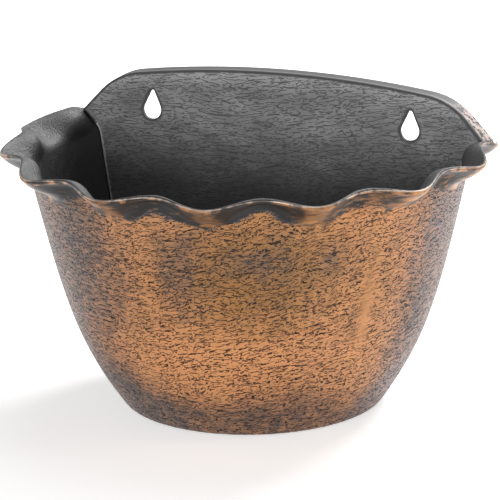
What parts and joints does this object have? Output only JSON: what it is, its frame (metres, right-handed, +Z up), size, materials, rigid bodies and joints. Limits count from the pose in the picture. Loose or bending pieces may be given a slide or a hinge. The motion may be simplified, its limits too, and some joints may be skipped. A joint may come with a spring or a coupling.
{
  "type": "wall planter",
  "caption": "Half-round wall planter: a tapering bowl with a waved, flared rim in front of a leaning back panel with an arched top and two teardrop hanging holes.",
  "frame": {"origin": "middle of the planter's box on the resting plane", "axes": "+X to the right as seen from the front, +Y to the wall that it hangs on, +Z up"},
  "size_m": [0.29, 0.2012, 0.1848],
  "materials": {
    "brushed_copper_plastic": "dark bark-relief plastic brushed with satin copper paint outside, bare dark plastic inside",
    "dark_plastic": "satin dark grey plastic with a fine bark relief, copper paint on the skirt"
  },
  "bodies": {
    "root": {"bowl": "brushed_copper_plastic", "back_panel": "dark_plastic"}
  },
  "joints": []
}
